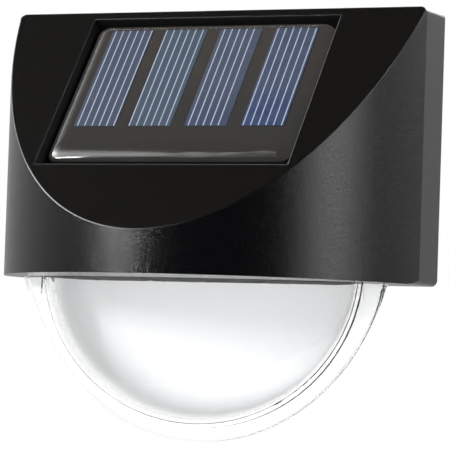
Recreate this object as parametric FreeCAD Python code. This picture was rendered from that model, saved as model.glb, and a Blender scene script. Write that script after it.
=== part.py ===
import FreeCAD, Part
import math
import os

from FreeCAD import Matrix, Placement, Rotation, Vector

# Solar fence light. All sizes are in millimetres.
# X runs along the wall, +Y points into the wall and +Z points up. The wall plane is y = 0.
# Heights are counted from the bottom edge of the housing. The finished pieces are then lowered,
# so that the origin lies on the wall plane, midway between the two keyhole seats.

# Housing
width = 105.0
height = 63.7
depth = 53.3
side_depth = 11.8            # straight part of the side walls, and depth of the flat top
slope_angle = 52.4           # slant of the top face, from the horizontal
wall = 2.0
corner_radius = 1.5
edge_rounding = 0.4

# Solar panel and its recess, laid out on the slanted face
recess_width = 63.5
recess_length = 46.3
recess_margin = 2.3          # from the top edge of the slanted face
recess_wall = 1.8
recess_rounding = 0.25
tape_thickness = 0.8
tape_margin = 4.0
tape_corner = 1.0
board_thickness = 1.2
panel_width = 61.0
panel_length = 42.4
panel_gap = 1.0              # between the top of the recess and the panel
panel_corner = 2.5
panel_depth = 2.0            # from the slanted face to the start of the resin's rounded rim
resin_edge = 0.5             # upright edge of the resin, above the board
resin_rise = 1.3             # from the upright edge to the flat middle
resin_side_rim = 4.8         # width of the sloping rim at the panel's sides
resin_top_rim = 1.8
resin_bottom_rim = 6.5
resin_inner_corner = 1.2     # corner radius of the flat middle
resin_profile = ((0, 0), (0.02, 0.2), (0.08, 0.38), (0.35, 0.64), (1, 1))  # shares of rim and rise
cell_count = 4
cell_width = 10.6
cell_pitch = 14.1
cell_length = 30.6
cell_margin = 1.6            # from the top edge of the panel
cell_thickness = 0.25
line_counts = (6, 6, 5, 6)   # silver lines on each cell
line_shifts = (0.3, -0.45, -0.5, 0.05)  # of their middle from the cell's middle
line_pitch = 1.88
line_width = 0.28
line_thickness = 0.06
lead_hole_radius = 2.4
lead_diameter = 1.2
lead_spacing = 2.2
bend_share = 0.45            # share of the shorter run that a wire's bend takes
lead_clearance = 3.5         # between the panel leads and the battery bay

# Lens and dish
flange_front = 16.8          # from the wall to the front of the lens flange
flange_thickness = 2.2
flange_half_width = 47.9     # half axes of the flange's oval, and the height of its middle
flange_drop = 52.3
flange_middle = 14.7
dome_half_width = 41.1
dome_drop = 37.9
dome_middle = 3.4
dome_bulge = 11.4
lens_wall = 1.8
lens_gap = 0.05              # between the lens flange and the dish's rim
ear_inner = 41.3
ear_drop = 4.0
ear_proud = 0.7
peg_radius = 1.1
peg_length = 1.2
peg_clearance = 0.15
peg_boss_wall = 1.2
peg_boss_height = 1.0
dish_wall = 1.5
dish_rim_margin = 0.5        # the dish's rim is smaller than the lens flange by this much
dish_rim_thickness = 1.5
dish_draft = 1.5             # how much the dish narrows before its rounded bottom
dish_rounding = 7.0
gasket_thickness = 1.0
gasket_proud = 0.1           # how far the gasket stands below the housing
tongue_width = 50.0
tongue_height = 9.0
tongue_root = 8.0            # how far the tongue reaches down into the dish's wall
tongue_clearance = 0.2
dish_screw_spacing = 36.0
dish_screw_height = 6.0
dish_block_half = 2.6
dish_block_depth = 8.0

# Back cover
cover_thickness = 2.0
cover_clearance = 0.2
cover_corner = 1.0
cover_screw_margin = 7.0     # from the housing's side to the screw
cover_screw_height = 8.2     # from the housing's bottom and from its top
cup_depth = 1.6              # how far the screw cups reach behind the cover
cup_wall = 1.1
boss_radius = 3.1
boss_length = 8.0
rib_thickness = 1.6
keyhole_height = 52.0
keyhole_spacing = 60.0
keyhole_seat_radius = 2.6
keyhole_neck = 3.4
keyhole_entry_radius = 4.6
keyhole_drop = 8.5           # from the seat down to the middle of the entry hole

# Battery, its bay and its door
battery_diameter = 14.2
battery_length = 49.5
button_radius = 2.75
button_length = 1.0
jacket_thickness = 0.2
jacket_inset = 0.8
can_end_rounding = 0.5
bay_clearance = 0.4
bay_wall = 1.2
bay_height = 27.0            # middle of the battery
contact_thickness = 0.4
contact_half_height = 6.0
contact_seat = 0.1
tab_width = 3.0
tab_clearance_side = 0.2
tab_clearance_flat = 0.1
tab_reach = 1.2              # in front of the bay
spring_length = 4.2
spring_wire = 0.6
spring_turns = 3
spring_points = 12           # bends in each turn
spring_wide_radius = 4.8
spring_narrow_radius = 3.0
spring_clearance = 0.02
door_thickness = 1.4
door_sink = 0.2              # how far the door lies inside the wall plane
door_overlap = 1.8           # past the bay, above and below
door_ear = 8.5               # past the bay, at each end
door_corner = 2.0
door_clearance = 0.3
door_grip_count = 5
door_grip_pitch = 2.0
door_grip_width = 0.8
door_grip_depth = 0.4
door_grip_length = 8.0
seal_thickness = 0.5
seal_gap = 0.1               # between the resting door and its seal
seal_margin = 0.3
ledge_thickness = 1.4
tray_wall = 1.2
door_screw_margin = 4.6      # from the end of the bay to the door screw
door_boss_radius = 2.4

# Circuit board and what it carries
pcb_half_width = 33.0
pcb_back = 5.2
pcb_front = 33.0
pcb_height = 9.5             # underside of the board
pcb_thickness = 1.6
pcb_corner = 1.5
pcb_post_radius = 2.6
post_x = 29.0
back_post_inset = 5.3        # from the board's back edge
front_post_x = 24.0
front_post_inset = 4.5       # from its front edge
led_spacing = 26.0
led_depth = 15.5             # from the wall
led_radius = 2.5
led_collar_radius = 2.9
led_collar_height = 1.0
led_tip_height = 0.4         # above the underside of the housing
led_length = 8.0
led_hole_clearance = 0.3
led_pin_spacing = 2.54
pin_width = 0.5
pin_clearance = 0.15
pin_end = 1.0                # how far pins stand past the board

# Switch
switch_x = 19.0
switch_back = 3.4            # from the wall to the switch's face
switch_length = 8.6
switch_depth = 4.0
switch_height = 3.6
switch_sheet = 0.4
switch_base_depth = 0.9
switch_pin_pitch = 2.5
knob_travel = 2.0
knob_width = 1.6
knob_height = 1.4
knob_tip = 0.5               # from the wall plane
slider_length = 4.6
slider_depth = 1.4
slider_height = 2.0
slider_clearance = 0.3
window_margin = 1.2
finger_pocket_depth = 0.8
finger_pocket_side = 3.2
finger_pocket_rise = 1.4

# Electronic parts on the board. Places are x and the distance behind the board's front edge.
chip_size = (5.0, 2.0, 4.0)
chip_place = (-2.0, 4.5)
chip_pin_count = 4
chip_pin_pitch = 1.27
chip_lift = 0.8
chip_chamfer = 0.5
coil_radius = 1.9
coil_length = 9.0
coil_lift = 0.2
coil_rounding = 0.8
coil_waist_depth = 0.25
coil_lead_reach = 2.0        # from the end of the coil to its lead's bend
coil_place = (-15.0, 9.0)
capacitor_radius = 2.5
capacitor_height = 7.0
capacitor_place = (12.0, 6.5)
capacitor_rounding = 0.5
capacitor_groove_height = 1.0
capacitor_groove_width = 0.5
capacitor_groove_depth = 0.3
solder_radius = 1.1
solder_height = 0.5
panel_lead_inset = 8.5       # from the board's front edge
panel_lead_spread = 3.0      # times their spacing at the panel
panel_lead_drop = 8.0        # upright run above the board
battery_lead_x = 25.0
battery_lead_inset = 8.0

# Screws: thread radius, head radius, head height, length under the head
cover_screw = (1.25, 2.5, 1.6, 8.0)
dish_screw = (1.0, 1.9, 1.0, 7.0)
board_screw = (1.0, 2.2, 1.4, 6.0)
door_screw = (1.0, 2.1, 1.0, 6.0)
thread_clearance = 0.05
hole_clearance = 0.2
hole_spare = 0.6             # from a screw's tip to the end of its hole
cross_width = 0.6
cross_reach = 0.6            # of the head's radius
pan_rounding = 0.45          # of the head's height
screw_point = 0.1

# Places worked out from the sizes above
half_width = width / 2
front_radius = ((depth - side_depth) ** 2 + half_width ** 2) / (2 * (depth - side_depth))
front_center = front_radius - depth
slope_frame = Placement(Vector(0, -side_depth, height), Rotation(Vector(1, 0, 0), slope_angle))
panel_top = recess_margin + panel_gap
panel_middle = panel_top + panel_length / 2
board_level = -(panel_depth + resin_edge)
tape_level = board_level - board_thickness
recess_depth = -tape_level + tape_thickness
lens_top = -gasket_proud
dish_front = lens_gap - (flange_front - flange_thickness)
dish_back = -(cover_thickness + tongue_clearance)
dish_floor = dish_back - dish_wall
tongue_front = dish_floor
bay_half_height = battery_diameter / 2 + bay_clearance
bay_half_length = (battery_length + button_length + spring_length) / 2 + contact_thickness + contact_seat
ledge_back = -(door_sink + door_thickness + seal_gap + seal_thickness)
ledge_front = ledge_back - ledge_thickness
battery_y = ledge_front - bay_clearance - battery_diameter / 2
bay_floor = battery_y - battery_diameter / 2 - bay_clearance
bay_front = bay_floor - bay_wall
door_half_length = bay_half_length + door_ear
door_half_height = bay_half_height + door_overlap
door_screw_x = bay_half_length + door_screw_margin
spring_plate_x = -(bay_half_length - contact_seat)
button_plate_x = bay_half_length - contact_seat
battery_start = spring_plate_x + contact_thickness + spring_length
pcb_top = pcb_height + pcb_thickness
coil_level = pcb_top + coil_radius + coil_lift
cover_screw_x = half_width - cover_screw_margin
boss_back = -(cover_thickness + cup_depth)
switch_y = -(switch_back + switch_depth)
switch_middle = pcb_top + switch_height / 2


def box(x0, x1, y0, y1, z0, z1):
    return Part.makeBox(x1 - x0, y1 - y0, z1 - z0, Vector(x0, y0, z0))


def bar_y(half_x, half_z, x, z, y0, y1):
    """A box from y0 to y1 round the line at (x, z)."""
    return box(x - half_x, x + half_x, y0, y1, z - half_z, z + half_z)


def bar_z(half_x, half_y, x, y, z0, z1):
    """A box from z0 to z1 round the line at (x, y)."""
    return box(x - half_x, x + half_x, y - half_y, y + half_y, z0, z1)


def rod_x(radius, x0, x1, y, z):
    return Part.makeCylinder(radius, x1 - x0, Vector(x0, y, z), Vector(1, 0, 0))


def rod_y(radius, x, z, y0, y1):
    return Part.makeCylinder(radius, y1 - y0, Vector(x, y0, z), Vector(0, 1, 0))


def rod_z(radius, x, y, z0, z1):
    return Part.makeCylinder(radius, z1 - z0, Vector(x, y, z0))


def both_sides(x):
    return (-x, x)


def rounded_plate(x, z0, z1, y0, y1, radius):
    """A plate parallel to the wall, from -x to x, with its four corners rounded."""
    plate = box(-x, x, y0, y1, z0, z1)
    corners = [edge for edge in plate.Edges if abs(edge.tangentAt(edge.FirstParameter).y) > 0.9]
    return plate.makeFillet(radius, corners)


def on_slope(shape):
    """Moves a shape from flat coordinates (x, up the slope, out of the face) onto the slant."""
    placed = shape.copy()
    placed.Placement = slope_frame.multiply(placed.Placement)
    return placed


def pan_screw(sizes):
    """A screw along -Z with its head's underside at z = 0."""
    thread, head, head_height, length = sizes
    screw = Part.makeCylinder(head, head_height)
    rim = [edge for edge in screw.Edges if abs(edge.BoundBox.ZMin - head_height) < 1e-6]
    screw = screw.makeFillet(head_height * pan_rounding, rim)
    screw = screw.fuse(shank(thread, length))
    return cross_cut(screw, head, head_height)


def shank(thread, length):
    """A plain shank along -Z that ends in a point."""
    straight = Part.makeCylinder(thread, length - thread, Vector(0, 0, thread - length))
    return straight.fuse(Part.makeCone(screw_point, thread, thread, Vector(0, 0, -length)))


def flat_screw(sizes):
    """A countersunk screw along -Z with the top of its head at z = 0."""
    thread, head, head_height, length = sizes
    screw = Part.makeCone(thread, head, head_height, Vector(0, 0, -head_height))
    return cross_cut(screw.fuse(shank(thread, length)), head, 0)


def cross_cut(screw, head, top):
    reach = head * cross_reach
    half = cross_width / 2
    slot = bar_z(reach, half, 0, 0, top - cross_width, top + 1)
    other = bar_z(half, reach, 0, 0, top - cross_width, top + 1)
    return screw.cut(slot).cut(other)


def countersink(sizes, clearance, reach):
    """The hole for a countersunk screw, along -Z from the top of its head at z = 0."""
    thread, head, head_height, _ = sizes
    bottom = Vector(0, 0, -head_height)
    sink = Part.makeCone(thread + thread_clearance, head + thread_clearance, head_height, bottom)
    return sink.fuse(Part.makeCylinder(thread + clearance, reach, Vector(0, 0, -reach)))


def facing_wall(shape, x, y, z):
    """Turns a shape made along -Z to point away from the wall, and puts it in place."""
    turned = shape.copy()
    turned.Placement = Placement(Vector(x, y, z), Rotation(Vector(1, 0, 0), -90))
    return turned


def bent_wire(points, diameter):
    """A round wire or lead along straight runs joined by arcs."""
    edges = []
    start = points[0]
    for before, corner, after in zip(points, points[1:], points[2:]):
        back = (before - corner).normalize()
        on = (after - corner).normalize()
        reach = bend_share * min((before - corner).Length, (after - corner).Length)
        half_turn = (math.pi - back.getAngle(on)) / 2
        radius = reach / math.tan(half_turn)
        inward = (back + on).normalize()
        middle = corner + inward * (radius / math.cos(half_turn) - radius)
        edges.append(Part.LineSegment(start, corner + back * reach).toShape())
        edges.append(Part.Arc(corner + back * reach, middle, corner + on * reach).toShape())
        start = corner + on * reach
    edges.append(Part.LineSegment(start, points[-1]).toShape())
    circle = Part.makeCircle(diameter / 2, points[0], points[1] - points[0])
    return Part.Wire(edges).makePipeShell([Part.Wire(circle)], True, False)


def housing_block(inset, back):
    """The housing's outer form with every wall drawn in by inset, running back to y = back."""
    half = half_width - inset
    radius = front_radius - inset
    side = front_center - math.sqrt(radius ** 2 - half ** 2)
    left_back = Vector(-half, back, inset)
    left_front = Vector(-half, side, inset)
    nose = Vector(0, front_center - radius, inset)
    right_front = Vector(half, side, inset)
    right_back = Vector(half, back, inset)
    outline = [
        Part.LineSegment(left_back, left_front).toShape(),
        Part.Arc(left_front, nose, right_front).toShape(),
        Part.LineSegment(right_front, right_back).toShape(),
        Part.LineSegment(right_back, left_back).toShape(),
    ]
    block = Part.Face(Part.Wire(outline)).extrude(Vector(0, 0, height - 2 * inset))
    above = box(-width, width, -2 * (height + depth), height, -inset, height)
    return block.cut(on_slope(above))


def recess_box(grow, level, top):
    """A box on the slanted face around the panel recess, larger than it by grow."""
    half = recess_width / 2 + grow
    low = -(recess_margin + recess_length + grow)
    return on_slope(box(-half, half, low, grow - recess_margin, level, top))


def cover_screw_places():
    low_and_high = (cover_screw_height, height - cover_screw_height)
    return [(x, z) for z in low_and_high for x in both_sides(cover_screw_x)]


def board_y(inset):
    """Y of a point on the circuit board, from the board's front edge."""
    return inset - pcb_front


def post_places():
    """Posts under the circuit board: x, y, and whether a screw goes in."""
    back = [(x, -(pcb_back + back_post_inset), True) for x in both_sides(post_x)]
    front = [(x, board_y(front_post_inset), False) for x in both_sides(front_post_x)]
    return back + front


def gasket_prism(grow, bottom, top):
    """The plan of the lens and dish where they meet the housing, larger by grow."""
    half = half_moon_width(dome_half_width, dome_drop, dome_middle) + grow
    nose = dome_bulge * half_moon_width(1, dome_drop, dome_middle) + grow
    ellipse = Part.Ellipse(Vector(half, 0, 0), Vector(0, nose, 0), Vector(0, 0, 0))
    front = Part.Face(Part.Wire(ellipse.toShape())).extrude(Vector(0, 0, top - bottom))
    front.translate(Vector(0, -flange_front, bottom))
    front = front.common(box(-width, width, -depth, -flange_front, bottom, top))
    between = box(-half, half, -flange_front, dish_front, bottom, top)
    outline = bowl(dish_front, dish_back, dish_wall + grow).slice(Vector(0, 0, 1), lens_top)
    rear = Part.Face(outline[0]).extrude(Vector(0, 0, top - bottom))
    rear.translate(Vector(0, 0, bottom - lens_top))
    behind = box(-width, width, tongue_front - tongue_clearance + grow, 0, bottom, top)
    return front.fuse(between).fuse(rear.cut(behind)).removeSplitter()


def housing():
    outline = rounded_plate(half_width, 0, height, -2 * depth, 0, corner_radius)
    outer = housing_block(0, 0).common(outline)
    outer = outer.makeFillet(edge_rounding, slanted_edges(outer))
    shell = outer.cut(housing_block(wall, 1))
    floor_level = -(recess_depth + recess_wall)
    shell = shell.fuse(recess_box(recess_wall, floor_level, 0).common(outer))
    shell = shell.cut(recess_box(0, -recess_depth, height))
    shell = shell.makeFillet(recess_rounding, recess_edges(shell))

    solids = []
    boss_front = boss_back - boss_length
    for x, z in cover_screw_places():
        solids.append(rod_y(boss_radius, x, z, boss_front, boss_back))
        near, far = sorted((x, math.copysign(half_width - wall / 2, x)))
        rib_middle = (near + far) / 2
        solids.append(bar_y(far - rib_middle, rib_thickness / 2, rib_middle, z, boss_front, boss_back))
    for x, y, _ in post_places():
        solids.append(rod_z(pcb_post_radius, x, y, wall / 2, pcb_height))
    block_top = pcb_height - pin_end - hole_spare / 2
    block_back = tongue_front - tongue_clearance
    for x in both_sides(dish_screw_spacing / 2):
        solids.append(box(x - dish_block_half, x + dish_block_half, block_back - dish_block_depth,
                          block_back, wall / 2, block_top))
    for x in both_sides(ear_middle()):
        solids.append(rod_z(peg_radius + peg_boss_wall, x, ear_y(), wall / 2, wall + peg_boss_height))
    shell = shell.multiFuse(solids)

    cuts = [gasket_prism(peg_clearance, -1, gasket_thickness - gasket_proud)]
    for x, z in cover_screw_places():
        hole_end = -(cover_thickness + cover_screw[3] + hole_spare)
        cuts.append(rod_y(cover_screw[0] + thread_clearance, x, z, hole_end, 0))
    for x, y, screwed in post_places():
        if screwed:
            hole_end = pcb_top - board_screw[3] - hole_spare
            cuts.append(rod_z(board_screw[0] + thread_clearance, x, y, hole_end, pcb_top))
    for x in both_sides(dish_screw_spacing / 2):
        radius = dish_screw[0] + thread_clearance
        cuts.append(rod_y(radius, x, dish_screw_height, dish_back - dish_screw[3] - hole_spare, 0))
    for x in both_sides(led_spacing / 2):
        cuts.append(rod_z(led_radius + led_hole_clearance, x, -led_depth, -1, wall + 1))
    for x in both_sides(ear_middle()):
        cuts.append(rod_z(peg_radius + peg_clearance, x, ear_y(), -1, peg_length + peg_clearance))
    tongue_half = tongue_width / 2 + tongue_clearance
    cuts.append(box(-tongue_half, tongue_half, block_back, -cover_thickness, -1, wall + 1))
    cuts.append(on_slope(lead_hole(floor_level - 1, 1 - recess_depth)))
    return shell.cut(Part.makeCompound(cuts)).removeSplitter()


def lead_hole(low, high):
    """The hole behind the middle of the panel, in flat coordinates."""
    return rod_z(lead_hole_radius, 0, -panel_middle, low, high)


def slanted_edges(outer):
    """The edges round the slanted face."""
    normal = slope_frame.Rotation.multVec(Vector(0, 0, 1))
    found = []
    for edge in outer.Edges:
        points = edge.discretize(5)
        if all(abs((point - slope_frame.Base).dot(normal)) < 1e-4 for point in points):
            found.append(edge)
    return found


def recess_edges(shell):
    """The four edges round the mouth of the recess."""
    mouth = recess_box(0.1, -0.1, 0.1)
    return [edge for edge in slanted_edges(shell) if mouth.common(edge).Length > edge.Length - 0.1]


def ear_middle():
    return (ear_inner + half_moon_width(flange_half_width, flange_drop, flange_middle)) / 2


def ear_y():
    return -(flange_front - flange_thickness / 2)


def half_moon_width(half, drop, middle):
    """Half the width of an oval where it meets the underside of the housing."""
    return half * math.sqrt(1 - ((middle - lens_top) / drop) ** 2)


def oval(half, drop, middle, y):
    """An upright oval wire in the plane at y."""
    center = Vector(0, y, middle)
    across = center + Vector(half, 0, 0)
    up = center + Vector(0, 0, drop)
    ellipse = Part.Ellipse(up, across, center) if drop > half else Part.Ellipse(across, up, center)
    return Part.Wire(ellipse.toShape())


def oval_plate(half, drop, middle, y0, y1):
    return Part.Face(oval(half, drop, middle, y0)).extrude(Vector(0, y1 - y0, 0))


def below_housing():
    return box(-width, width, -depth, 0, -2 * height, lens_top)


def egg(half, bulge, drop):
    """A ball stretched to the dome's half axes, round the middle of the dome's back.

    Its poles lie along Y and its seam on top, where the housing's underside cuts them away.
    """
    ball = Part.makeSphere(1.0)
    turned = Rotation(Vector(0, 0, 1), Vector(1, 0, 0), Vector(0, 1, 0), "XYZ")
    ball.Placement = Placement(Vector(0, 0, 0), turned)
    stretch = Matrix()
    stretch.scale(half, bulge, drop)
    shape = ball.transformGeometry(stretch)
    shape.translate(Vector(0, -flange_front, dome_middle))
    return shape


def lens():
    flange_back = -(flange_front - flange_thickness)
    flange = oval_plate(flange_half_width, flange_drop, flange_middle, -flange_front, flange_back)
    front = box(-width, width, -depth, -flange_front, -2 * height, 2 * height)
    dome = egg(dome_half_width, dome_bulge, dome_drop).common(front)
    body = flange.fuse(dome).common(below_housing())
    inner = (dome_half_width - lens_wall, dome_drop - lens_wall)
    body = body.cut(egg(inner[0], dome_bulge - lens_wall, inner[1]))
    body = body.cut(oval_plate(*inner, dome_middle, -flange_front - 0.01, 0))
    outline = oval_plate(flange_half_width, flange_drop, flange_middle, -depth, flange_back)
    solids = []
    for side in (-1, 1):
        near, far = sorted((side * ear_inner, side * half_width))
        ear = box(near, far, -flange_front - ear_proud, flange_back, -ear_drop, lens_top)
        solids.append(ear.common(outline))
        solids.append(rod_z(peg_radius, side * ear_middle(), ear_y(), -ear_drop / 2, lens_top + peg_length))
    return body.multiFuse(solids).removeSplitter()


def bowl(front, floor, grow):
    """The dish's hollow, or with grow its outside: a drafted wall that rounds into a flat floor."""
    half = dome_half_width - lens_wall + grow
    drop = dome_drop - lens_wall + grow
    rounding = dish_rounding + grow
    straight = (floor - front) - rounding
    sections = [oval(half, drop, dome_middle, front)]
    for angle in (0, 30, 60, 90):
        turn = math.radians(angle)
        inset = dish_draft + rounding * (1 - math.cos(turn))
        y = front + straight + rounding * math.sin(turn)
        sections.append(oval(half - inset, drop - inset, dome_middle, y))
    return Part.makeLoft(sections, True, False)


def reflector_dish():
    margin = dish_rim_margin
    rim_back = dish_front + dish_rim_thickness
    rim = oval_plate(flange_half_width - margin, flange_drop - margin, flange_middle, dish_front, rim_back)
    outside = bowl(dish_front, dish_back, dish_wall)
    body = rim.fuse(outside).common(below_housing())
    half = tongue_width / 2
    tongue = box(-half, half, dish_floor, dish_back, -tongue_root, tongue_height)
    body = body.fuse(tongue)
    body = body.cut(bowl(dish_front, dish_floor, 0).common(below_housing()))
    ahead = box(-width, width, -depth, dish_front, -2 * height, 2 * height)
    body = body.cut(ahead)
    for x in both_sides(dish_screw_spacing / 2):
        sink = countersink(dish_screw, hole_clearance, 2 * dish_wall)
        body = body.cut(facing_wall(sink, x, dish_back, dish_screw_height))
    return body.removeSplitter()


def dish_screws():
    screws = []
    for x in both_sides(dish_screw_spacing / 2):
        screws.append(facing_wall(flat_screw(dish_screw), x, dish_back, dish_screw_height))
    return Part.makeCompound(screws)


def lens_gasket():
    sheet = gasket_prism(-peg_clearance, lens_top, lens_top + gasket_thickness)
    for x in both_sides(led_spacing / 2):
        sheet = sheet.cut(rod_z(led_radius + led_hole_clearance, x, -led_depth, -1, wall))
    return sheet


def upright_edges(shape):
    return [edge for edge in shape.Edges if abs(edge.tangentAt(edge.FirstParameter).z) > 0.9]


def panel_slab(side, top, bottom, low, high, radius):
    """A flat slab in flat coordinates, smaller than the panel by three margins."""
    half = panel_width / 2 - side
    far = -(panel_top + top)
    near = bottom - panel_top - panel_length
    slab = box(-half, half, near, far, low, high)
    return slab.makeFillet(radius, upright_edges(slab))


def panel_tape():
    low = tape_level - tape_thickness
    slab = panel_slab(tape_margin, tape_margin, tape_margin, low, tape_level, tape_corner)
    return on_slope(slab.cut(lead_hole(low - 1, tape_level + 1)))


def panel_board():
    return on_slope(panel_slab(0, 0, 0, tape_level, board_level, panel_corner))


def cell_x(number):
    return (number - (cell_count - 1) / 2) * cell_pitch


def cell_strip(number):
    middle = -(panel_top + cell_margin + cell_length / 2)
    level = board_level + cell_thickness
    strip = bar_z(cell_width / 2, cell_length / 2, cell_x(number), middle, board_level, level)
    return on_slope(strip)


def cell_lines(number):
    level = board_level + cell_thickness
    middle = -(panel_top + cell_margin + cell_length / 2)
    lines = []
    count = line_counts[number]
    for line in range(count):
        x = cell_x(number) + line_shifts[number] + (line - (count - 1) / 2) * line_pitch
        lines.append(bar_z(line_width / 2, cell_length / 2, x, middle, level, level + line_thickness))
    return on_slope(Part.makeCompound(lines))


def resin_outline(share, level):
    """The resin's outline at a share of the way from the panel's edge to the flat middle."""
    corner = panel_corner + share * (resin_inner_corner - panel_corner)
    margins = (share * resin_side_rim, share * resin_top_rim, share * resin_bottom_rim)
    slab = panel_slab(*margins, level, level + 1, corner)
    bottom = [face for face in slab.Faces if abs(face.BoundBox.ZMax - level) < 1e-6]
    return bottom[0].OuterWire


def panel_resin():
    edge_top = board_level + resin_edge
    edge = panel_slab(0, 0, 0, board_level, edge_top, panel_corner)
    sections = [resin_outline(share, edge_top + rise * resin_rise) for share, rise in resin_profile]
    crown = Part.makeLoft(sections, True, True)
    resin = on_slope(edge.fuse(crown))
    for number in range(cell_count):
        resin = resin.cut(cell_strip(number)).cut(cell_lines(number))
    return resin


def panel_lead(side):
    """A lead from the back of the panel, through the recess floor, down to the circuit board."""
    x = side * lead_spacing / 2
    end_x = panel_lead_spread * x
    behind_floor = -(recess_depth + 2 * recess_wall)
    start = slope_frame.multVec(Vector(x, -panel_middle, tape_level))
    through = slope_frame.multVec(Vector(x, -panel_middle, behind_floor))
    end = Vector(end_x, board_y(panel_lead_inset), pcb_top + solder_height)
    lower = Vector(end_x, board_y(panel_lead_inset), pcb_top + panel_lead_drop)
    upper = Vector((x + end_x) / 2, bay_front - lead_clearance, (through.z + lower.z) / 2)
    return bent_wire([start, through, upper, lower, end], lead_diameter)


def back_cover():
    half = half_width - wall - cover_clearance
    low = wall + cover_clearance
    plate = rounded_plate(half, low, height - wall - cover_clearance, -cover_thickness, 0, cover_corner)
    tray_grow = door_clearance + tray_wall
    solids = [door_block(tray_grow, ledge_front, 0)]
    solids.append(bay_block(bay_wall, bay_front, ledge_front))
    for x, z in cover_screw_places():
        cup = cover_screw[1] + hole_clearance + cup_wall
        solids.append(rod_y(cup, x, z, boss_back, -cover_thickness / 2))
    tip = -(door_sink + door_screw[3])
    for x in both_sides(door_screw_x):
        solids.append(rod_y(door_boss_radius, x, bay_height, tip - 2 * hole_spare, ledge_front))
    cover = plate.multiFuse(solids)

    cuts = [door_block(door_clearance, ledge_back, 1), bay_block(0, bay_floor, 1)]
    for x, z in cover_screw_places():
        cuts.append(rod_y(cover_screw[1] + hole_clearance, x, z, -cover_thickness, 1))
        cuts.append(rod_y(cover_screw[0] + hole_clearance, x, z, boss_back - 1, 0))
    for x in both_sides(door_screw_x):
        cuts.append(rod_y(door_screw[0] + thread_clearance, x, bay_height, tip - hole_spare, 0))
    for x in both_sides(keyhole_spacing / 2):
        cuts.append(keyhole(x))
    cuts.append(switch_window())
    for x in (spring_plate_x, button_plate_x):
        cuts.append(tab_slot(x))
    return cover.cut(Part.makeCompound(cuts)).removeSplitter()


def door_block(grow, y0, y1):
    """The battery door's outline, larger by grow."""
    half = door_half_height + grow
    return rounded_plate(door_half_length + grow, bay_height - half, bay_height + half, y0, y1,
                         door_corner + grow)


def bay_block(grow, y0, y1):
    return bar_y(bay_half_length + grow, bay_half_height + grow, 0, bay_height, y0, y1)


def keyhole(x):
    """A round entry, a narrow neck above it, and a round seat for the wall screw."""
    entry = keyhole_height - keyhole_drop
    front = -2 * cover_thickness
    hole = rod_y(keyhole_entry_radius, x, entry, front, 1)
    hole = hole.fuse(rod_y(keyhole_seat_radius, x, keyhole_height, front, 1))
    neck = bar_y(keyhole_neck / 2, keyhole_drop / 2, x, (entry + keyhole_height) / 2, front, 1)
    return hole.fuse(neck)


def switch_window():
    """The opening for the switch knob, with a shallow pocket round it for a fingertip."""
    half = (knob_width + knob_travel) / 2 + window_margin
    tall = knob_height / 2 + window_margin
    window = bar_y(half, tall, switch_x, switch_middle, -2 * cover_thickness, 1)
    pocket = bar_y(half + finger_pocket_side, tall + finger_pocket_rise, switch_x, switch_middle,
                   -finger_pocket_depth, 1)
    return window.fuse(pocket)


def tab_slot(x):
    """The slot in the bay's front wall that a contact's tab goes through."""
    half = contact_thickness / 2 + tab_clearance_flat
    tall = tab_width / 2 + tab_clearance_side
    return bar_y(half, tall, tab_x(x), bay_height, bay_front - 1, bay_floor + 1)


def tab_x(x):
    """The middle of a contact plate's thickness, from its outer face at x."""
    return x - math.copysign(contact_thickness / 2, x)


def contact_plate(x):
    half = contact_thickness / 2
    plate_front = bay_floor + contact_seat
    plate = bar_y(half, contact_half_height, tab_x(x), bay_height, plate_front, ledge_front)
    tab = bar_y(half, tab_width / 2, tab_x(x), bay_height, bay_front - tab_reach, plate_front + 1)
    return plate.fuse(tab).removeSplitter()


def battery_spring():
    """A conical spring between its plate and the battery's flat end."""
    start = spring_plate_x + contact_thickness + spring_wire / 2 + spring_clearance
    rise = spring_length - spring_wire - 2 * spring_clearance
    steps = spring_turns * spring_points
    points = []
    for step in range(steps + 1):
        share = step / steps
        radius = spring_wide_radius + share * (spring_narrow_radius - spring_wide_radius)
        turn = 2 * math.pi * step / spring_points
        y = battery_y + radius * math.cos(turn)
        points.append(Vector(start + share * rise, y, bay_height + radius * math.sin(turn)))
    return bent_wire(points, spring_wire)


def battery_can():
    radius = battery_diameter / 2 - jacket_thickness
    end = battery_start + battery_length
    can = rod_x(radius, battery_start, end, battery_y, bay_height)
    can = can.makeFillet(can_end_rounding, round_edges(can))
    return can.fuse(rod_x(button_radius, end, end + button_length, battery_y, bay_height))


def round_edges(rod):
    return [edge for edge in rod.Edges if len(edge.Vertexes) == 1]


def battery_jacket():
    start = battery_start + jacket_inset
    end = battery_start + battery_length - jacket_inset
    outer = rod_x(battery_diameter / 2, start, end, battery_y, bay_height)
    return outer.cut(rod_x(battery_diameter / 2 - jacket_thickness, start, end, battery_y, bay_height))


def battery_lead(x):
    end_x = math.copysign(battery_lead_x, x)
    end_y = board_y(battery_lead_inset)
    points = [
        Vector(tab_x(x), bay_front - tab_reach, bay_height),
        Vector(tab_x(x), end_y, bay_height),
        Vector(end_x, end_y, (bay_height + pcb_top) / 2),
        Vector(end_x, end_y, pcb_top + solder_height),
    ]
    return bent_wire(points, lead_diameter)


def battery_door():
    back = -(door_sink + door_thickness)
    door = door_block(0, back, -door_sink)
    groove_floor = -(door_sink + door_grip_depth)
    for number in range(door_grip_count):
        x = (number - (door_grip_count - 1) / 2) * door_grip_pitch
        groove = bar_y(door_grip_width / 2, door_grip_length / 2, x, bay_height, groove_floor, 1)
        door = door.cut(groove)
    for x in both_sides(door_screw_x):
        sink = countersink(door_screw, thread_clearance, 2 * door_thickness)
        door = door.cut(facing_wall(sink, x, -door_sink, bay_height))
    return door


def door_screws():
    screws = []
    for x in both_sides(door_screw_x):
        screws.append(facing_wall(flat_screw(door_screw), x, -door_sink, bay_height))
    return Part.makeCompound(screws)


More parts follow.
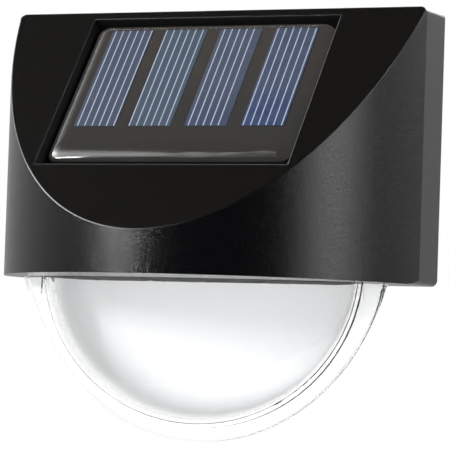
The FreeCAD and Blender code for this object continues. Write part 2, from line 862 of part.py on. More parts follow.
def door_gasket():
    ring = door_block(-seal_margin, ledge_back, ledge_back + seal_thickness)
    ring = ring.cut(bay_block(seal_margin, ledge_back - 1, 0))
    for x in both_sides(door_screw_x):
        ring = ring.cut(rod_y(door_screw[0] + hole_clearance, x, bay_height, ledge_back - 1, 0))
    return ring


def cover_screws():
    screws = []
    for x, z in cover_screw_places():
        screws.append(facing_wall(pan_screw(cover_screw), x, -cover_thickness, z))
    return Part.makeCompound(screws)


def pin(x, y, low, high):
    return bar_z(pin_width / 2, pin_width / 2, x, y, low, high)


def led_pin_places():
    shifts = both_sides(led_pin_spacing / 2)
    return [(x + shift, -led_depth) for x in both_sides(led_spacing / 2) for shift in shifts]


def chip_pin_places():
    first = chip_place[0] - (chip_pin_count - 1) / 2 * chip_pin_pitch
    return [(first + number * chip_pin_pitch, board_y(chip_place[1])) for number in range(chip_pin_count)]


def coil_pin_places():
    reach = coil_length / 2 + coil_lead_reach
    return [(coil_place[0] + shift, board_y(coil_place[1])) for shift in both_sides(reach)]


def switch_pin_places():
    y = switch_y + switch_base_depth / 2
    return [(switch_x + shift, y) for shift in (-switch_pin_pitch, 0, switch_pin_pitch)]


def circuit_board():
    board = box(-pcb_half_width, pcb_half_width, -pcb_front, -pcb_back, pcb_height, pcb_top)
    board = board.makeFillet(pcb_corner, upright_edges(board))
    places = led_pin_places() + chip_pin_places() + coil_pin_places() + switch_pin_places()
    cuts = []
    for x, y in places:
        cuts.append(rod_z(pin_width / math.sqrt(2) + pin_clearance, x, y, 0, height))
    for x, y, screwed in post_places():
        if screwed:
            cuts.append(rod_z(board_screw[0] + hole_clearance, x, y, 0, height))
    return board.cut(Part.makeCompound(cuts))


def board_screws():
    screws = []
    for x, y, screwed in post_places():
        if screwed:
            screw = pan_screw(board_screw)
            screw.translate(Vector(x, y, pcb_top))
            screws.append(screw)
    return Part.makeCompound(screws)


def led(x):
    """A round LED that points down."""
    ball_middle = led_tip_height + led_radius
    top = led_tip_height + led_length
    body = Part.makeSphere(led_radius, Vector(x, -led_depth, ball_middle))
    body = body.fuse(rod_z(led_radius, x, -led_depth, ball_middle, top))
    collar = rod_z(led_collar_radius, x, -led_depth, top - led_collar_height, top)
    return body.fuse(collar).removeSplitter()


def led_pins():
    start = led_tip_height + led_length
    return Part.makeCompound([pin(x, y, start, pcb_top + pin_end) for x, y in led_pin_places()])


def controller_chip():
    length, thick, tall = chip_size
    base = pcb_top + chip_lift
    body = bar_z(length / 2, thick / 2, chip_place[0], board_y(chip_place[1]), base, base + tall)
    return body.makeChamfer(chip_chamfer, upright_edges(body))


def chip_pins():
    low = pcb_height - pin_end
    return Part.makeCompound([pin(x, y, low, pcb_top + chip_lift) for x, y in chip_pin_places()])


def coil_rod(radius, length):
    """A rod round the middle of the coil."""
    x = coil_place[0]
    return rod_x(radius, x - length / 2, x + length / 2, board_y(coil_place[1]), coil_level)


def inductor():
    """A small axial coil with rounded ends and a narrower waist."""
    barrel = coil_rod(coil_radius, coil_length)
    barrel = barrel.makeFillet(coil_rounding, round_edges(barrel))
    waist = coil_rod(coil_radius + 1, coil_length / 2)
    core = coil_rod(coil_radius - coil_waist_depth, coil_length / 2)
    return barrel.cut(waist.cut(core))


def inductor_leads():
    """Two wires that leave the coil's ends and turn down through the board."""
    half = pin_width / 2
    wires = []
    for x, y in coil_pin_places():
        side = math.copysign(1, x - coil_place[0])
        near, far = sorted((coil_place[0] + side * coil_length / 2, x + side * half))
        run = box(near, far, y - half, y + half, coil_level - half, coil_level + half)
        upright = pin(x, y, pcb_height - pin_end, coil_level + half)
        wires.append(run.fuse(upright).removeSplitter())
    return Part.makeCompound(wires)


def capacitor():
    x = capacitor_place[0]
    y = board_y(capacitor_place[1])
    can = rod_z(capacitor_radius, x, y, pcb_top, pcb_top + capacitor_height)
    can = can.makeFillet(capacitor_rounding, round_edges(can))
    low = pcb_top + capacitor_groove_height
    high = low + capacitor_groove_width
    groove = rod_z(capacitor_radius + 1, x, y, low, high)
    groove = groove.cut(rod_z(capacitor_radius - capacitor_groove_depth, x, y, low, high))
    return can.cut(groove)


def solder_pads():
    """The small cones of solder that the leads end on."""
    places = [(x, panel_lead_inset) for x in both_sides(panel_lead_spread * lead_spacing / 2)]
    places += [(x, battery_lead_inset) for x in both_sides(battery_lead_x)]
    cones = []
    for x, inset in places:
        base = Vector(x, board_y(inset), pcb_top)
        cones.append(Part.makeCone(solder_radius, lead_diameter / 2, solder_height, base))
    return Part.makeCompound(cones)


def switch_shell():
    """A folded metal shell, open at the front, with a slot for the knob in its back."""
    back = -switch_back
    slot_half = (knob_width + knob_travel) / 2 + slider_clearance
    slot_tall = knob_height / 2 + slider_clearance
    shell = switch_block(0, switch_y, back)
    slot = bar_y(slot_half, slot_tall, switch_x, switch_middle, back - 1, 0)
    return shell.cut(switch_block(switch_sheet, switch_y - 1, back - switch_sheet)).cut(slot)


def switch_block(inset, y0, y1):
    """The switch's outline seen from the wall, smaller by inset."""
    half = switch_length / 2 - inset
    return bar_y(half, switch_height / 2 - inset, switch_x, switch_middle, y0, y1)


def switch_base():
    return switch_block(switch_sheet, switch_y, switch_y + switch_base_depth)


def switch_pins():
    low = pcb_height - pin_end
    return Part.makeCompound([pin(x, y, low, pcb_top) for x, y in switch_pin_places()])


def switch_knob():
    """The slider inside the switch and the knob that reaches through the cover, at off."""
    x = switch_x - knob_travel / 2
    inside = -(switch_back + switch_sheet + slider_clearance)
    low = inside - slider_depth
    slider = bar_y(slider_length / 2, slider_height / 2, x, switch_middle, low, inside)
    stem = bar_y(knob_width / 2, knob_height / 2, x, switch_middle, low, -knob_tip)
    return slider.fuse(stem).removeSplitter()


pieces = {
    "housing": housing(),
    "back_cover": back_cover(),
    "cover_screws": cover_screws(),
    "lens": lens(),
    "reflector_dish": reflector_dish(),
    "dish_screws": dish_screws(),
    "lens_gasket": lens_gasket(),
    "panel_tape": panel_tape(),
    "panel_board": panel_board(),
    "panel_resin": panel_resin(),
    "panel_lead_black": panel_lead(-1),
    "panel_lead_red": panel_lead(1),
    "circuit_board": circuit_board(),
    "board_screws": board_screws(),
    "led_left": led(-led_spacing / 2),
    "led_right": led(led_spacing / 2),
    "led_pins": led_pins(),
    "controller_chip": controller_chip(),
    "chip_pins": chip_pins(),
    "inductor": inductor(),
    "inductor_leads": inductor_leads(),
    "capacitor": capacitor(),
    "solder_pads": solder_pads(),
    "switch_shell": switch_shell(),
    "switch_base": switch_base(),
    "switch_pins": switch_pins(),
    "switch_knob": switch_knob(),
    "battery_can": battery_can(),
    "battery_jacket": battery_jacket(),
    "battery_spring": battery_spring(),
    "spring_plate": contact_plate(spring_plate_x),
    "button_plate": contact_plate(button_plate_x),
    "battery_lead_black": battery_lead(spring_plate_x),
    "battery_lead_red": battery_lead(button_plate_x),
    "battery_door": battery_door(),
    "door_screws": door_screws(),
    "door_gasket": door_gasket(),
}
for number in range(cell_count):
    pieces["cell_" + str(number + 1)] = cell_strip(number)
    pieces["cell_lines_" + str(number + 1)] = cell_lines(number)

os.makedirs("parts", exist_ok=True)
for name, shape in pieces.items():
    shape.translate(Vector(0, 0, -keyhole_height))
    shape.exportStep("parts/" + name + ".step")
    solids = len(shape.Solids)
    print(name, "solids", solids, "volume", round(shape.Volume, 2), "valid", shape.isValid())
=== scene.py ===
import math

import bpy
from mathutils import Matrix, Vector


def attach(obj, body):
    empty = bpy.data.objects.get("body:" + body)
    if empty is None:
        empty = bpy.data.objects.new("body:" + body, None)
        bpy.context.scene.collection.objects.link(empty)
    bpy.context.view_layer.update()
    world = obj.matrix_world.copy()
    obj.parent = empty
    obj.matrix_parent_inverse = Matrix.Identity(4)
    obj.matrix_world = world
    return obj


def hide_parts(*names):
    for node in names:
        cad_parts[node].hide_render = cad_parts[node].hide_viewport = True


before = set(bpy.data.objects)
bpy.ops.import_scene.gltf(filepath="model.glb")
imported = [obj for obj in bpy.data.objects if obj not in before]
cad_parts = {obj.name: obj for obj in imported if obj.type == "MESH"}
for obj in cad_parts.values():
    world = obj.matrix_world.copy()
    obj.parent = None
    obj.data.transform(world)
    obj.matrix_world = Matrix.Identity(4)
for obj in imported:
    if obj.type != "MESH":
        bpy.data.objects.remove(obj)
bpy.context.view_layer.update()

# ---- Housing ----
# One black moulding of weatherproof plastic, open at the back. The mould gives its curved front and sides
# a fine sparkling grain; the slanted face is smoother, its grain painted lighter and warmer as warm light
# from above, and the panel's recess is rougher and painted a deeper black as shade.


class Wire:
    """An output socket. Python's operators on it add Math nodes."""

    def __init__(self, shader, socket):
        self.shader = shader
        self.socket = socket

    def math(self, operation, *terms):
        return self.shader.node("Math", {"operation": operation}, dict(enumerate(terms)))

    def __add__(self, other):
        return self.math("ADD", self, other)

    def __radd__(self, other):
        return self.math("ADD", other, self)

    def __sub__(self, other):
        return self.math("SUBTRACT", self, other)

    def __rsub__(self, other):
        return self.math("SUBTRACT", other, self)

    def __mul__(self, other):
        return self.math("MULTIPLY", self, other)

    def __rmul__(self, other):
        return self.math("MULTIPLY", other, self)

    def __gt__(self, other):
        return self.math("GREATER_THAN", self, other)

    def __lt__(self, other):
        return self.math("LESS_THAN", self, other)

    def __abs__(self):
        return self.math("ABSOLUTE", self)


class Shader:
    """The nodes of a material or of the world."""

    def __init__(self, owner):
        owner.use_nodes = True
        self.tree = owner.node_tree

    def node(self, kind, settings, inputs, output=0):
        """A node by its type, its settings and the values or wires of its sockets."""
        made = self.tree.nodes.new("ShaderNode" + kind)
        for name, value in settings.items():
            setattr(made, name, value)
        for name, value in inputs.items():
            self.feed(made.inputs[name], value)
        return Wire(self, made.outputs[output])

    def feed(self, socket, value):
        if isinstance(value, Wire):
            self.tree.links.new(value.socket, socket)
        else:
            socket.default_value = value

    def ramp(self, value, low, high, bottom=0.0, top=1.0):
        """Climbs smoothly from bottom to top while the value goes from low to high."""
        inputs = {"Value": value, "From Min": low, "From Max": high, "To Min": bottom, "To Max": top}
        return self.node("MapRange", {"interpolation_type": "SMOOTHSTEP"}, inputs)

    def ray(self, kind):
        """1 for rays of one kind, else 0."""
        return self.node("LightPath", {}, {}, "Is " + kind + " Ray")


class Finish(Shader):
    """A material with one Principled shader, whose plain values are given by socket name."""

    def __init__(self, name, colour=(0.5, 0.5, 0.5), **plain):
        self.material = bpy.data.materials.new(name)
        super().__init__(self.material)
        self.principled = self.tree.nodes["Principled BSDF"]
        self.set("Base Color", (*colour, 1))
        for socket, value in plain.items():
            self.set(socket.replace("_", " "), value)

    def set(self, socket, value):
        self.feed(self.principled.inputs[socket], value)

    def place(self):
        """The point on the piece, in the lamp's own metres."""
        return self.node("TexCoord", {}, {}, "Object")

    def along(self, direction, start=(0, 0, 0)):
        """How far the point lies from start along a direction."""
        offset = self.node("VectorMath", {"operation": "SUBTRACT"}, {0: self.place(), 1: start})
        return self.node("VectorMath", {"operation": "DOT_PRODUCT"}, {0: offset, 1: direction}, "Value")

    def noise(self, size, detail=2.0, stretch=(1, 1, 1)):
        """Noise whose lumps are about size metres across."""
        scaled = self.node("VectorMath", {"operation": "MULTIPLY"}, {0: self.place(), 1: stretch})
        return self.node("TexNoise", {}, {"Vector": scaled, "Scale": 1 / size, "Detail": detail})

    def blend(self, share, first, second, way="MIX"):
        """One colour over another, by share."""
        first, second = [value if isinstance(value, Wire) else (*value, 1) for value in (first, second)]
        return self.node("Mix", {"data_type": "RGBA", "blend_type": way}, {0: share, 6: first, 7: second}, 2)

    def bump(self, height, depth):
        """The normal over a relief that is depth metres high."""
        return self.node("Bump", {}, {"Height": height, "Distance": depth})

    def on(self, *names):
        """Puts the finish on pieces of the CAD, by node name."""
        for name in names:
            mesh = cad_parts[name].data
            mesh.materials.clear()
            mesh.materials.append(self.material)


slant_angle = math.radians(52.4)
slant_out = Vector((0, -math.sin(slant_angle), math.cos(slant_angle)))
slant_up = Vector((0, math.cos(slant_angle), math.sin(slant_angle)))
slant_top = Vector((0, -0.0118, 0.0117))
slant_skin = 0.00005
recess_lip = 0.0003
recess_floor = 0.0066
recess_half_width = 0.0320
recess_far_end = 0.0488
grain_size = 0.00030
fine_grain_size = 0.00016
grain_depth = 0.00008
polish = 0.14
dull_grain = 0.13
dull_slant = 0.06
dull_recess = 0.4
bluish_blacks = (0.0003, 0.0004, 0.0006), (0.0014, 0.0016, 0.0022)
# Painted light: the slanted face's blacks carry its fine grain, and are painted lighter and warmer than the
# front's, as warm light from above falls on it.
slant_warm_lit_blacks = (0.0008, 0.0006, 0.0004), (0.0026, 0.0022, 0.0016)
# Painted shade: the recess walls are painted a deeper, even black than the slanted face around them. Their
# higher roughness is the moulding's own matt finish.
recess_shade_black = (0.0008, 0.0008, 0.0008)

housing_plastic = Finish("housing_plastic", IOR=1.46)
over_slant = housing_plastic.along(slant_out, slant_top)
down_slant = -1 * housing_plastic.along(slant_up, slant_top)
across = abs(housing_plastic.along((1, 0, 0)))
on_slant = over_slant > -slant_skin
in_recess = (over_slant < -recess_lip) * (down_slant < recess_far_end) * (across < recess_half_width)
in_recess = in_recess * (over_slant > -recess_floor)
grain = housing_plastic.noise(grain_size, 1.0)
fine_grain = housing_plastic.noise(fine_grain_size, 1.0)
sparkle = housing_plastic.ramp(grain, 0.40, 0.66)
front_colour = housing_plastic.blend(grain, *bluish_blacks)
slant_warm_lit_colour = housing_plastic.blend(fine_grain, *slant_warm_lit_blacks)
colour = housing_plastic.blend(on_slant, front_colour, slant_warm_lit_colour)
housing_plastic.set("Base Color", housing_plastic.blend(in_recess, colour, recess_shade_black))
roughness = polish + dull_grain * sparkle * (1 - on_slant * 0.7)
roughness = roughness + on_slant * dull_slant + in_recess * dull_recess
housing_plastic.set("Roughness", roughness)
spark_height = (grain * 0.7 + fine_grain * 0.3) * (1 - on_slant * 0.95)
housing_plastic.set("Normal", housing_plastic.bump(spark_height, grain_depth))
housing_plastic.on("housing")

# ---- Panel board, its tape and leads ----
# A brown-grey laminate board that carries the solar cells. White foam tape holds it in the recess, and two
# thin leads run from the middle of its back through the housing.

weave_size = 0.0011
weave_depth = 0.000006
low_end_of_board = -0.040
high_end_of_board = -0.010
low_end_shade = 0.75

board_laminate = Finish("board_laminate", Roughness=0.55)
weave = board_laminate.noise(weave_size, 4.0)
laminate_colour = board_laminate.blend(weave, (0.015, 0.012, 0.010), (0.024, 0.020, 0.015))
board_place = board_laminate.along(slant_up, slant_top)
low_on_board = board_laminate.ramp(board_place, low_end_of_board, high_end_of_board, low_end_shade, 0.0)
board_laminate.set("Base Color", board_laminate.blend(low_on_board, laminate_colour, (0.008, 0.008, 0.007)))
board_laminate.set("Normal", board_laminate.bump(weave, weave_depth))
board_laminate.on("panel_board")

white_foam = Finish("white_foam", Roughness=0.9)
cells_in_foam = white_foam.noise(0.0004, 2.0)
white_foam.set("Base Color", white_foam.blend(cells_in_foam, (0.62, 0.61, 0.57), (0.78, 0.77, 0.73)))
white_foam.set("Normal", white_foam.bump(cells_in_foam, 0.00005))
white_foam.on("panel_tape")


def rubbery(name, dark, light, roughness=0.5):
    """A sleeve, seal or small moulding with a faintly uneven colour."""
    finish = Finish(name, Roughness=roughness)
    unevenness = finish.noise(0.0012, 3.0)
    finish.set("Base Color", finish.blend(unevenness, dark, light))
    finish.set("Normal", finish.bump(unevenness, 0.000015))
    return finish


black_sleeve = rubbery("black_lead_sleeve", (0.008, 0.008, 0.008), (0.016, 0.016, 0.017))
black_sleeve.on("panel_lead_black", "battery_lead_black")
red_sleeve = rubbery("red_lead_sleeve", (0.34, 0.012, 0.010), (0.46, 0.020, 0.016))
red_sleeve.on("panel_lead_red", "battery_lead_red")

# ---- Solar cells ----
# Four dark strips cut from a crystalline wafer, each a little different in colour, with thin silver
# lines printed on them. They are soldered to the board and drowned in clear resin.

cell_pitch = 0.0141
crystals_per_metre = 420.0
streak_width = 0.00035
haze_size = 0.006
low_end_of_cells = -0.034
middle_of_cells = -0.020
deep_blue = (0.014, 0.024, 0.086)

wafer = Finish("wafer", Roughness=0.34, Specular_IOR_Level=0.3)
along_x = wafer.along((1, 0, 0))
along_slant = wafer.along(slant_up, slant_top)
crystals = wafer.node("TexVoronoi", {}, {"Vector": wafer.place(), "Scale": crystals_per_metre}, "Color")
crystal_tone = wafer.node("SeparateColor", {}, {0: crystals})
streaks = wafer.noise(streak_width, 2.0, stretch=(0.12, 1, 1))
haze = wafer.noise(haze_size)
slate = wafer.blend(haze, (0.038, 0.049, 0.078), (0.050, 0.062, 0.094))
teal = wafer.blend(haze, (0.038, 0.060, 0.084), (0.048, 0.064, 0.094))
blue = wafer.blend(crystal_tone, (0.018, 0.033, 0.090), (0.036, 0.056, 0.110))
second_cell = abs(along_x + cell_pitch * 0.5) < cell_pitch * 0.5
fourth_cell = along_x > cell_pitch
low_end = wafer.ramp(along_slant, low_end_of_cells, middle_of_cells, 1.0, 0.0)
tone = wafer.blend(second_cell, slate, teal)
tone = wafer.blend(fourth_cell * (0.35 + 0.65 * low_end), tone, blue)
tone = wafer.blend(low_end * low_end * (along_x > 0) * 0.35, tone, deep_blue)
shade = 0.86 + 0.28 * streaks
shade = wafer.node("CombineColor", {}, {0: shade, 1: shade, 2: shade})
wafer.set("Base Color", wafer.blend(1.0, tone, shade, "MULTIPLY"))
wafer.on("cell_1", "cell_2", "cell_3", "cell_4")

silver_print = Finish("silver_print", Roughness=0.45)
print_wear = silver_print.noise(0.0009)
silver_print.set("Base Color", silver_print.blend(print_wear, (0.24, 0.29, 0.41), (0.36, 0.41, 0.53)))
silver_print.on("cell_lines_1", "cell_lines_2", "cell_lines_3", "cell_lines_4")

# ---- Resin over the panel ----
# Clear resin poured on the board. It wets the cells, stands a little over the board's edge and slopes up
# round a flat window; its lower rim set with a slight ripple.

panel_half_width = 0.0305
panel_top = 0.0033
panel_bottom = 0.0457
resin_base = -0.0026
resin_edge = -0.00245
window_level = -0.0007
rim_side = 0.0048
rim_top = 0.0018
rim_bottom = 0.0065
outer_corner = 0.0025
inner_corner = 0.0012
corner_steps = 12
rim_steps = 20
crease_share = 0.34
swell_share = 0.30
swell_power = 3
edge_power = 12
sharp_angle = math.radians(35)
ripple_size = 0.0036
ripple_depth = 0.00016


def resin_ring(share, level):
    """The resin's outline at a share of the way in from its edge, in the lamp's metres."""
    half = panel_half_width - share * rim_side
    far = panel_top + share * rim_top
    near = panel_bottom - share * rim_bottom
    corner = outer_corner + share * (inner_corner - outer_corner)
    ring = []
    for x, down, first in ((half, near, -90), (half, far, 0), (-half, far, 90), (-half, near, 180)):
        x -= math.copysign(corner, x)
        down += corner if down == far else -corner
        for step in range(corner_steps + 1):
            turn = math.radians(first + 90 * step / corner_steps)
            sideways = Vector((x + corner * math.cos(turn), 0, 0))
            downhill = slant_up * (down - corner * math.sin(turn))
            ring.append(slant_top + sideways - downhill + slant_out * level)
    return ring


def piece_from_rings(name, rings):
    """A closed piece through a row of rings, capped at both ends."""
    count = len(rings[0])
    points = [point for ring in rings for point in ring]
    faces = []
    for row in range(0, len(points) - count, count):
        for step in range(count):
            after = (step + 1) % count
            faces.append((row + step, row + after, row + count + after, row + count + step))
    faces.append(tuple(reversed(range(count))))
    faces.append(tuple(range(len(points) - count, len(points))))
    mesh = bpy.data.meshes.new(name)
    mesh.from_pydata(points, [], faces)
    mesh.shade_smooth()
    mesh.set_sharp_from_angle(angle=sharp_angle)
    piece = bpy.data.objects.new(name, mesh)
    bpy.context.scene.collection.objects.link(piece)
    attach(piece, "lamp")
    return piece


def lets_light_through(finish):
    """Shadow and diffuse rays pass the clear wall straight, so what is behind it stays lit."""
    unbent = finish.ray("Shadow").math("MAXIMUM", finish.ray("Shadow"), finish.ray("Diffuse"))
    straight = finish.node("BsdfTransparent", {}, {})
    bent = Wire(finish, finish.principled.outputs[0])
    mixed = finish.node("MixShader", {}, {0: unbent, 1: bent, 2: straight})
    finish.feed(finish.tree.nodes["Material Output"].inputs["Surface"], mixed)


rings = [resin_ring(0, resin_base)]
for step in range(rim_steps + 1):
    share = (step / rim_steps) ** 2
    outward = 1 - share
    round_edge = (1 - crease_share - swell_share) * outward ** edge_power
    fall = crease_share * outward + swell_share * outward ** swell_power + round_edge
    rings.append(resin_ring(share, window_level + (resin_edge - window_level) * fall))
resin = piece_from_rings("resin_dome", rings)
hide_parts("panel_resin")

poured_resin = Finish("poured_resin", (1.0, 0.99, 0.97), Roughness=0.05, Transmission_Weight=1.0, IOR=1.5)
down = -1 * poured_resin.along(slant_up, slant_top)
rightward = poured_resin.along((1, 0, 0))
ripple = poured_resin.noise(ripple_size, 1.0, stretch=(0.30, 1.6, 1.6))
on_lower_rim = poured_resin.ramp(down, 0.0400, 0.0425) * poured_resin.ramp(rightward, -0.018, 0.006)
poured_resin.set("Normal", poured_resin.bump(ripple * on_lower_rim, ripple_depth))
lets_light_through(poured_resin)
resin.data.materials.append(poured_resin.material)

# ---- Lens gasket ----
# Black foam cut from sheet and let into the underside of the housing. It is the dark ceiling that shows
# through the lens. The battery door's seal is cut from the same foam.

gasket_foam = rubbery("gasket_foam", (0.003, 0.003, 0.003), (0.006, 0.006, 0.006), 0.9)
gasket_foam.on("lens_gasket", "door_gasket")

# ---- Lens ----
# A clear half-moon dome on a flat flange, moulded in one with two ears whose pegs go up into the
# housing. Light passes straight through it to the dish.

lens_plastic = Finish("lens_plastic", (0.985, 0.992, 1.0), Roughness=0.015, Transmission_Weight=1.0, IOR=1.49)
lets_light_through(lens_plastic)
lens_plastic.on("lens")

# ---- Dish ----
# A smooth white moulding behind the lens. Its hollow spreads the light, and its tongue goes up into the
# housing, where two countersunk screws hold it.

dish_plastic = Finish("dish_plastic", Roughness=0.6, Specular_IOR_Level=0.25)
flow = dish_plastic.noise(0.02, 2.0)
dish_plastic.set("Base Color", dish_plastic.blend(flow, (0.81, 0.815, 0.82), (0.84, 0.84, 0.84)))
dish_plastic.on("reflector_dish")

# ---- Screws, pins and other metal ----
# Zinc-plated steel screws, tinned copper pins and their solder, and parts bent or wound from nickel-plated
# steel: the battery's contacts and spring, and the switch's folded shell.


def metal(name, colour, roughness, blur=0.10):
    """Bare or plated metal with slightly uneven polish."""
    finish = Finish(name, colour, Metallic=1.0)
    finish.set("Roughness", roughness + blur * finish.noise(0.0008, 3.0))
    return finish


metal("zinc_plate", (0.62, 0.61, 0.58), 0.28).on("cover_screws", "dish_screws", "board_screws", "door_screws")
metal("tinned_wire", (0.74, 0.74, 0.72), 0.22).on("led_pins", "chip_pins", "inductor_leads", "switch_pins")
metal("solder_tin", (0.66, 0.66, 0.65), 0.30).on("solder_pads")
nickel_plate = metal("nickel_plate", (0.72, 0.69, 0.62), 0.20)
nickel_plate.on("switch_shell", "spring_plate", "button_plate", "battery_spring")

# ---- Circuit board and its parts ----
# Green lacquered board on four posts over the dish, with faint copper tracks under the lacquer. Two clear
# LEDs, a moulded chip, a lacquered coil and a sleeved capacitor are soldered to it.

tracks_per_metre = 90.0
track_width = 0.035
turns_per_metre = 700.0

board_lacquer = Finish("board_lacquer", Roughness=0.3)
tracks = board_lacquer.node("TexBrick", {"offset": 0.37}, {
    "Vector": board_lacquer.place(), "Scale": tracks_per_metre, "Mortar Size": track_width,
    "Color1": (0, 0, 0, 1), "Color2": (0, 0, 0, 1), "Mortar": (1, 1, 1, 1)})
board_lacquer.set("Base Color", board_lacquer.blend(tracks, (0.012, 0.105, 0.040), (0.040, 0.200, 0.075)))
board_lacquer.on("circuit_board")

led_resin = Finish("led_resin", (0.96, 0.95, 0.80), Roughness=0.05, Transmission_Weight=0.85, IOR=1.5)
led_resin.on("led_left", "led_right")

moulded_chip = rubbery("moulded_chip", (0.010, 0.010, 0.010), (0.018, 0.018, 0.018), 0.6)
moulded_chip.on("controller_chip")

coil_lacquer = Finish("coil_lacquer", Roughness=0.3)
turns = coil_lacquer.node("TexWave", {"bands_direction": "X"}, {
    "Vector": coil_lacquer.place(), "Scale": turns_per_metre})
coil_lacquer.set("Base Color", coil_lacquer.blend(turns, (0.05, 0.22, 0.10), (0.10, 0.36, 0.18)))
coil_lacquer.on("inductor")

sleeve = rubbery("capacitor_sleeve", (0.020, 0.024, 0.050), (0.030, 0.034, 0.066), 0.3)
sleeve.on("capacitor")

# ---- Switch ----
# A small slide switch, moulded in dark plastic under its folded shell. It stands on the board and looks
# out of the back, and its pale knob slides 2 mm.

switch_plastic = rubbery("switch_plastic", (0.020, 0.020, 0.021), (0.030, 0.030, 0.031), 0.45)
switch_plastic.on("switch_base")
knob_plastic = rubbery("knob_plastic", (0.42, 0.42, 0.42), (0.50, 0.50, 0.50), 0.45)
knob_plastic.on("switch_knob")

# ---- Battery ----
# One rechargeable AA cell in a plain green shrink sleeve with a pale band at one end, and with bare
# steel ends.

pale_band_start = 0.016

metal("can_steel", (0.70, 0.70, 0.68), 0.26).on("battery_can")
shrink_sleeve = Finish("shrink_sleeve", Roughness=0.25, Coat_Weight=0.3)
band = shrink_sleeve.along((1, 0, 0)) > pale_band_start
tint = shrink_sleeve.blend(shrink_sleeve.noise(0.004), (0.035, 0.20, 0.075), (0.045, 0.24, 0.090))
shrink_sleeve.set("Base Color", shrink_sleeve.blend(band, tint, (0.62, 0.62, 0.60)))
shrink_sleeve.on("battery_jacket")

# ---- Back cover and battery door ----
# Two flat black mouldings with a fine matt spark texture on the side that lies against the wall. Four
# screws hold the cover in the housing, and two hold the door over the battery bay.

cover_plastic = Finish("cover_plastic", Specular_IOR_Level=0.4)
spark = cover_plastic.noise(0.0005, 4.0)
cover_plastic.set("Base Color", cover_plastic.blend(spark, (0.0085, 0.0085, 0.009), (0.014, 0.014, 0.015)))
cover_plastic.set("Roughness", 0.5 + 0.15 * spark)
cover_plastic.set("Normal", cover_plastic.bump(spark, 0.00003))
cover_plastic.on("back_cover", "battery_door")

# ---- Studio ----
# A pale floor well below the lamp, in a white room that looks dark from the front in gloss. Gloss also
# mirrors a window and a glow up at the left and behind. Two boxes of light stand in front at the left, a
# narrow bright one and a dim one, and a wide one at the right.

room_from_above = 0.90
room_from_below = 2.4
dark_front = 0.03
bright_back = 0.55
dim_ceiling = 0.05
glow_left = 3.4
glow_behind = 5.5
glow_window = 12.0

world = bpy.data.worlds.new("studio")
bpy.context.scene.world = world
world.cycles.sampling_method = "NONE"
studio = Shader(world)
way = studio.node("TexCoord", {}, {}, "Generated")
leftward = -1 * studio.node("SeparateXYZ", {}, {0: way}, 0)
backward = studio.node("SeparateXYZ", {}, {0: way}, 1)
upward = studio.node("SeparateXYZ", {}, {0: way}, 2)
mirrored = studio.ramp(backward, -0.85, 0.15, dark_front, bright_back)
mirrored = mirrored * studio.ramp(upward, 0.3, 0.85, 1.0, dim_ceiling)
window = studio.ramp(backward, -0.30, -0.12, glow_window, 0.0) * studio.ramp(upward, 0.25, 0.40)
glow = studio.ramp(leftward, 0.33, 0.75) * (glow_left + window) * studio.ramp(upward, 0.62, 0.79, 1.0, 0.0)
glow = glow + studio.ramp(backward, 0.15, 0.45, 0.0, glow_behind)
mirrored = mirrored + glow * studio.ramp(upward, 0.15, 0.45)
room_light = studio.ramp(upward, -0.2, 0.15, room_from_below, room_from_above)
seen = studio.ray("Camera").math("MAXIMUM", studio.ray("Camera"), studio.ray("Transmission"))
glossy = studio.ray("Glossy")
strength = seen + (1 - seen) * (glossy * mirrored + (1 - glossy) * room_light)
studio.feed(studio.tree.nodes["Background"].inputs["Color"], (1, 1, 1, 1))
studio.feed(studio.tree.nodes["Background"].inputs["Strength"], strength)

floor_level = -0.62
floor_half_width = 0.9
shaded_half_width = 0.2
shaded_floor_glow = 0.35
bpy.ops.mesh.primitive_circle_add(vertices=96, radius=floor_half_width, fill_type="NGON",
                                  location=(0, 0, floor_level))
floor = bpy.context.object
floor.name = "floor"
pale_floor = Finish("pale_floor", (0.85, 0.85, 0.85), Roughness=0.9)
from_middle = pale_floor.node("VectorMath", {"operation": "LENGTH"}, {0: pale_floor.place()}, "Value")
far_off = pale_floor.ramp(from_middle, shaded_half_width, floor_half_width, shaded_floor_glow, 1.0)
seen = 1 - pale_floor.ray("Diffuse").math("MAXIMUM", pale_floor.ray("Diffuse"), pale_floor.ray("Shadow"))
white = pale_floor.node("Emission", {}, {"Color": (1, 1, 1, 1), "Strength": 1.0})
lit = Wire(pale_floor, pale_floor.principled.outputs[0])
mixed = pale_floor.node("MixShader", {}, {0: seen * far_off, 1: lit, 2: white})
pale_floor.feed(pale_floor.tree.nodes["Material Output"].inputs["Surface"], mixed)
pale_floor.material.cycles.emission_sampling = "NONE"
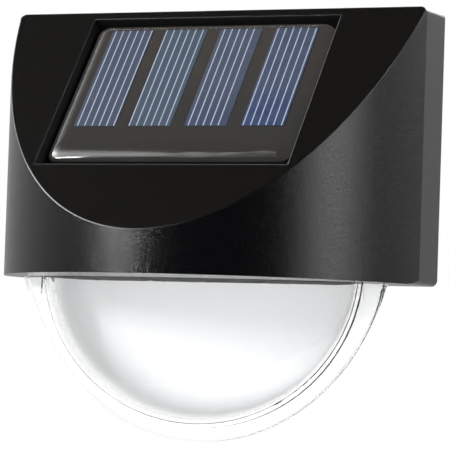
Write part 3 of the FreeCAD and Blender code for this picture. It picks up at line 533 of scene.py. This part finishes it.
floor.data.materials.append(pale_floor.material)

middle_of_lamp = Vector((0, -0.03, -0.02))


def softbox(name, azimuth, elevation, distance, width, height, radiance):
    """A rectangle of light that faces the lamp, at angles from straight in front and from level."""
    lamp = bpy.data.lights.new(name, "AREA")
    lamp.shape = "RECTANGLE"
    lamp.size = width
    lamp.size_y = height
    lamp.energy = radiance * math.pi * width * height
    turn = math.radians(azimuth)
    tilt = math.radians(elevation)
    way = Vector((math.sin(turn) * math.cos(tilt), -math.cos(turn) * math.cos(tilt), math.sin(tilt)))
    item = bpy.data.objects.new(name, lamp)
    bpy.context.scene.collection.objects.link(item)
    item.location = middle_of_lamp + way * distance
    item.rotation_euler = (-way).to_track_quat("-Z", "Y").to_euler()
    item.visible_camera = False


softbox("left_strip", -34, 11, 0.6, 0.06, 0.12, 66)
softbox("left_window", -42, 36, 0.7, 0.26, 0.26, 1.2)
softbox("right_box", 75, 14, 0.7, 0.27, 0.50, 4.2)

# ---- Camera ----
# In front of the lamp and to its right, level with it, as in the photograph. Its place, turn and lens were
# fitted to the corners and rims that the photograph shows.

yaw, pitch, roll = -0.42676, 0.04944, 0.03393
camera_place = Vector((0.29618, -0.65521, -0.07385))
focal_length = 241.88
film_width = 36

forward = Vector((math.sin(yaw) * math.cos(pitch), math.cos(yaw) * math.cos(pitch), math.sin(pitch)))
level = Vector((math.cos(yaw), -math.sin(yaw), 0))
upright = level.cross(forward)
right = math.cos(roll) * level + math.sin(roll) * upright
up = math.cos(roll) * upright - math.sin(roll) * level
camera = bpy.data.objects.new("camera", bpy.data.cameras.new("camera"))
bpy.context.scene.collection.objects.link(camera)
camera.data.sensor_width = film_width
camera.data.lens = focal_length
camera.data.clip_start = 0.01
camera.matrix_world = Matrix((
    (right.x, up.x, -forward.x, camera_place.x),
    (right.y, up.y, -forward.y, camera_place.y),
    (right.z, up.z, -forward.z, camera_place.z),
    (0, 0, 0, 1),
))
bpy.context.scene.camera = camera
bpy.context.scene.view_settings.view_transform = "Standard"
